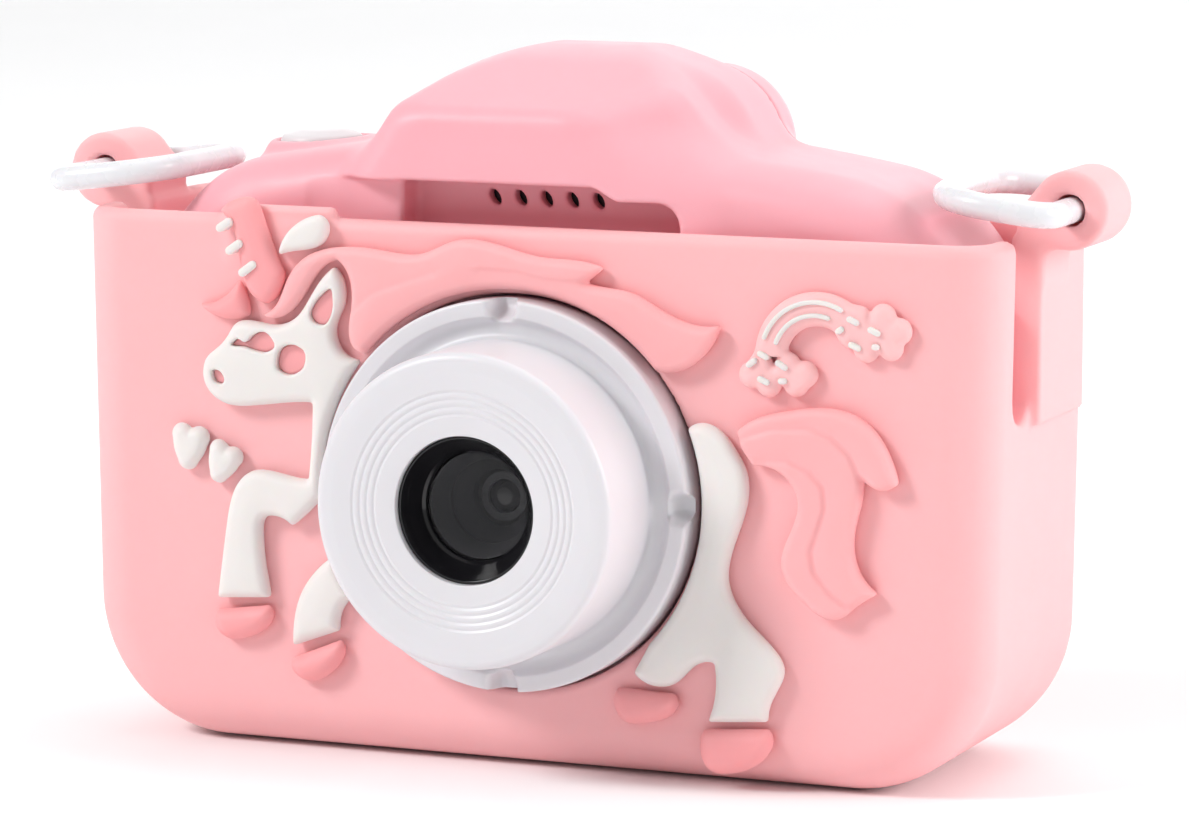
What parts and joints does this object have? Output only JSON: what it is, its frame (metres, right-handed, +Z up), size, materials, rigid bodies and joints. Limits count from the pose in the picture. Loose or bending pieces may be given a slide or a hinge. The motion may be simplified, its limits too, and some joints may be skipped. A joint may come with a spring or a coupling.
{
  "type": "kids digital camera",
  "caption": "Small child's digital camera in a soft open-topped sleeve with a raised unicorn relief, a stepped round lens, a hooded top and two strap rings.",
  "frame": {"origin": "centre of the sleeve's flat base, midway through its depth", "axes": "+X is the camera's left side as it faces its subject, which is the right side as seen from the front, -Y is the way the lens looks, +Z up"},
  "size_m": [0.1102, 0.0446, 0.0693],
  "materials": {
    "sleeve": "soft matte silicone",
    "relief_white": "soft matte silicone",
    "relief_pink": "soft matte silicone",
    "relief_rose": "soft matte silicone",
    "relief_pale": "soft matte silicone",
    "ring_plastic": "glossy moulded plastic",
    "shell": "satin moulded plastic",
    "lens_white": "satin moulded plastic",
    "bezel_black": "glossy moulded plastic",
    "lens_glass": "clear polished",
    "module_black": "matte",
    "button_white": "satin moulded plastic",
    "circuit": "solder-masked board",
    "display": "framed panel",
    "metal": "plated steel",
    "battery_wrap": "foil pouch",
    "card_black": "matte",
    "lead_red": "insulated wire",
    "flex": "polyimide film"
  },
  "bodies": {
    "camera": {"battery": "battery_wrap", "battery_leads": "lead_red", "board_chips": "module_black", "board_screws": "metal", "card_socket": "metal", "display_module": "display", "display_window": "lens_glass", "front_camera_flex": "flex", "front_camera_lens": "lens_glass", "front_camera_module": "module_black", "front_housing": "shell", "heart_pair": "relief_white", "housing_screws": "metal", "key_board": "circuit", "lens_barrel": "lens_white", "lens_bezel": "bezel_black", "lens_cone": "module_black", "lens_window": "lens_glass", "main_board": "circuit", "microphone": "module_black", "rainbow_and_clouds": "relief_pale", "rainbow_highlights": "relief_white", "rear_camera_flex": "flex", "rear_camera_module": "module_black", "rear_camera_window": "bezel_black", "rear_housing": "shell", "rear_key_switches": "module_black", "shutter_board": "circuit", "shutter_switch": "module_black", "silicone_sleeve": "sleeve", "speaker": "module_black", "speaker_leads": "lead_red", "unicorn_far_ear": "relief_white", "unicorn_forelock": "relief_pink", "unicorn_head_and_foreleg": "relief_white", "unicorn_hind_legs": "relief_white", "unicorn_hooves": "relief_pink", "unicorn_horn": "relief_pink", "unicorn_horn_bars": "relief_white", "unicorn_mane": "relief_rose", "unicorn_second_foreleg": "relief_white", "unicorn_tail": "relief_rose", "usb_socket": "metal"},
    "ring_right": {"strap_ring_right": "ring_plastic"},
    "ring_left": {"strap_ring_left": "ring_plastic"},
    "shutter": {"shutter_button": "button_white"},
    "card": {"memory_card": "card_black"},
    "key_ok": {"key_ok": "button_white"},
    "key_up": {"key_up": "button_white"},
    "key_down": {"key_down": "button_white"},
    "key_right": {"key_right": "button_white"},
    "key_left": {"key_left": "button_white"},
    "key_playback": {"key_playback": "button_white"},
    "power_button": {"power_button": "button_white"}
  },
  "joints": [
    {"name": "ring_right_swing", "type": "hinge", "parent": "camera", "child": "ring_right", "pos_m": [0.0513, 0, 0.0555], "axis": [0, 1, 0], "range_deg": [0, 250]},
    {"name": "ring_left_swing", "type": "hinge", "parent": "camera", "child": "ring_left", "pos_m": [-0.0513, 0, 0.0555], "axis": [0, -1, 0], "range_deg": [0, 250]},
    {"name": "shutter_press", "type": "slide", "parent": "camera", "child": "shutter", "axis": [0, 0, -1], "range_m": [0, 0.0008], "stiffness_N_per_m": 900, "springref_m": -0.0004},
    {"name": "memory_card_slide", "type": "slide", "parent": "camera", "child": "card", "axis": [-1, 0, 0], "range_m": [0, 0.015]},
    {"name": "key_ok_press", "type": "slide", "parent": "camera", "child": "key_ok", "axis": [0, -1, 0], "range_m": [0, 0.0005], "stiffness_N_per_m": 700, "springref_m": -0.0004},
    {"name": "key_up_press", "type": "slide", "parent": "camera", "child": "key_up", "axis": [0, -1, 0], "range_m": [0, 0.0005], "stiffness_N_per_m": 700, "springref_m": -0.0004},
    {"name": "key_down_press", "type": "slide", "parent": "camera", "child": "key_down", "axis": [0, -1, 0], "range_m": [0, 0.0005], "stiffness_N_per_m": 700, "springref_m": -0.0004},
    {"name": "key_right_press", "type": "slide", "parent": "camera", "child": "key_right", "axis": [0, -1, 0], "range_m": [0, 0.0005], "stiffness_N_per_m": 700, "springref_m": -0.0004},
    {"name": "key_left_press", "type": "slide", "parent": "camera", "child": "key_left", "axis": [0, -1, 0], "range_m": [0, 0.0005], "stiffness_N_per_m": 700, "springref_m": -0.0004},
    {"name": "key_playback_press", "type": "slide", "parent": "camera", "child": "key_playback", "axis": [0, -1, 0], "range_m": [0, 0.0005], "stiffness_N_per_m": 700, "springref_m": -0.0004},
    {"name": "power_button_press", "type": "slide", "parent": "camera", "child": "power_button", "axis": [0, -1, 0], "range_m": [0, 0.0005], "stiffness_N_per_m": 700, "springref_m": -0.0004}
  ]
}
